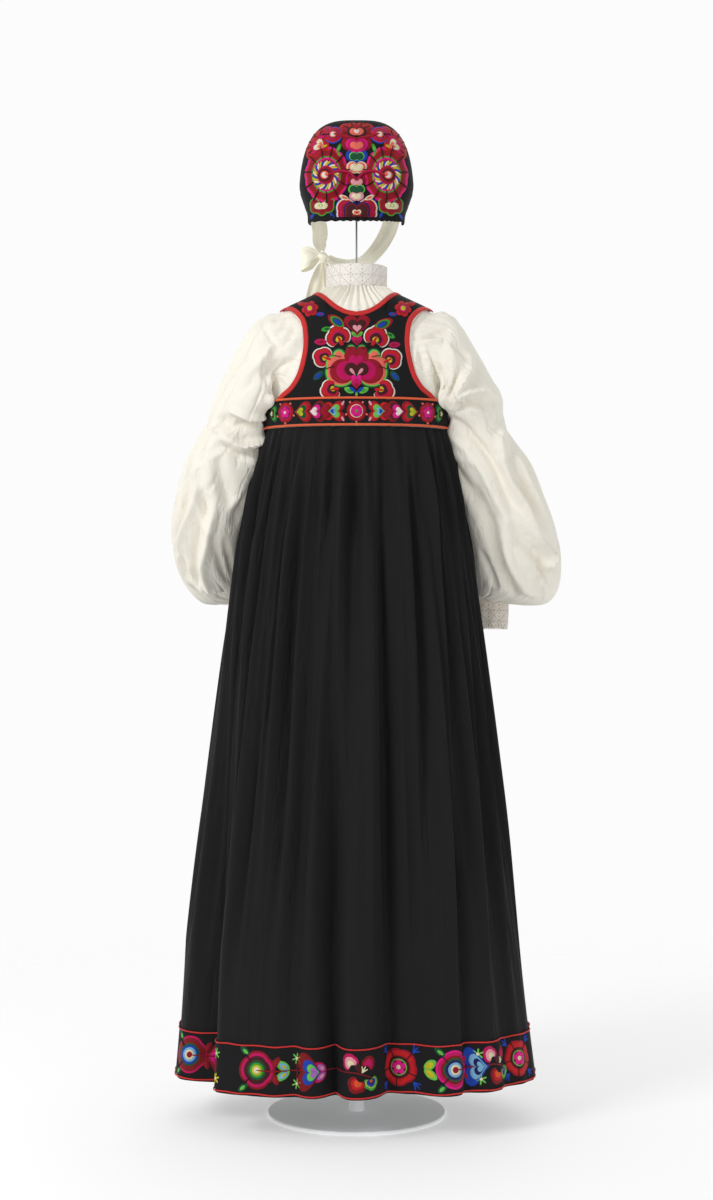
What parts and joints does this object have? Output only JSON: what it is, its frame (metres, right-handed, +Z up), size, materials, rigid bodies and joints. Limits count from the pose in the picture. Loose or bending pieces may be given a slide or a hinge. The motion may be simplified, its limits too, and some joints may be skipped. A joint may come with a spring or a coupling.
{
  "type": "bunad costume on a limbless dress form and display stand",
  "caption": "Norwegian folk costume: embroidered cap with silk ribbons, full-sleeved shirt, embroidered bodice and long gathered skirt, on a dress form and disc stand, shown from behind.",
  "frame": {"origin": "centre of the underside of the stand's disc", "axes": "+Z up; the wearer's front faces +Y and the back, the shown side, faces -Y; +X is the right as seen from behind"},
  "size_m": [0.667, 0.4321, 1.668],
  "materials": {
    "white_linen": "matt woven",
    "whitework": "matt, white embroidery",
    "bodice_wool": "matt with wool embroidery",
    "red_binding": "matt wool",
    "orange_piping": "matt wool",
    "embroidered_band": "matt with wool embroidery",
    "embroidered_hem": "matt with wool embroidery",
    "skirt_wool": "matt fine wool",
    "embroidered_cap": "matt with wool embroidery",
    "ribbon_silk": "soft sheen",
    "stand_paint": "satin",
    "rod_steel": "brushed",
    "form_cloth": "matt"
  },
  "bodies": {
    "root": {"shirt_back": "white_linen", "shirt_front": "white_linen", "sleeve_left": "white_linen", "sleeve_right": "white_linen", "cuff_left": "whitework", "cuff_right": "whitework", "collar": "whitework", "bodice_back": "bodice_wool", "bodice_front_left": "bodice_wool", "bodice_front_right": "bodice_wool", "neck_binding_back": "red_binding", "neck_binding_front_left": "red_binding", "neck_binding_front_right": "red_binding", "armhole_binding_back_left": "red_binding", "armhole_binding_back_right": "red_binding", "armhole_binding_front_left": "red_binding", "armhole_binding_front_right": "red_binding", "hem_cord_top": "red_binding", "hem_cord_bottom": "red_binding", "piping_top": "orange_piping", "piping_bottom": "orange_piping", "band": "embroidered_band", "hem_border": "embroidered_hem", "skirt": "skirt_wool", "cap": "embroidered_cap", "ribbon_left": "ribbon_silk", "ribbon_right": "ribbon_silk", "ribbon_knot": "ribbon_silk", "ribbon_loop": "ribbon_silk", "ribbon_tail_long": "ribbon_silk", "ribbon_tail_short": "ribbon_silk", "stand_base": "stand_paint", "stand_pole": "stand_paint", "cap_rod": "rod_steel", "dress_form": "form_cloth", "cap_rest": "form_cloth"}
  },
  "joints": []
}
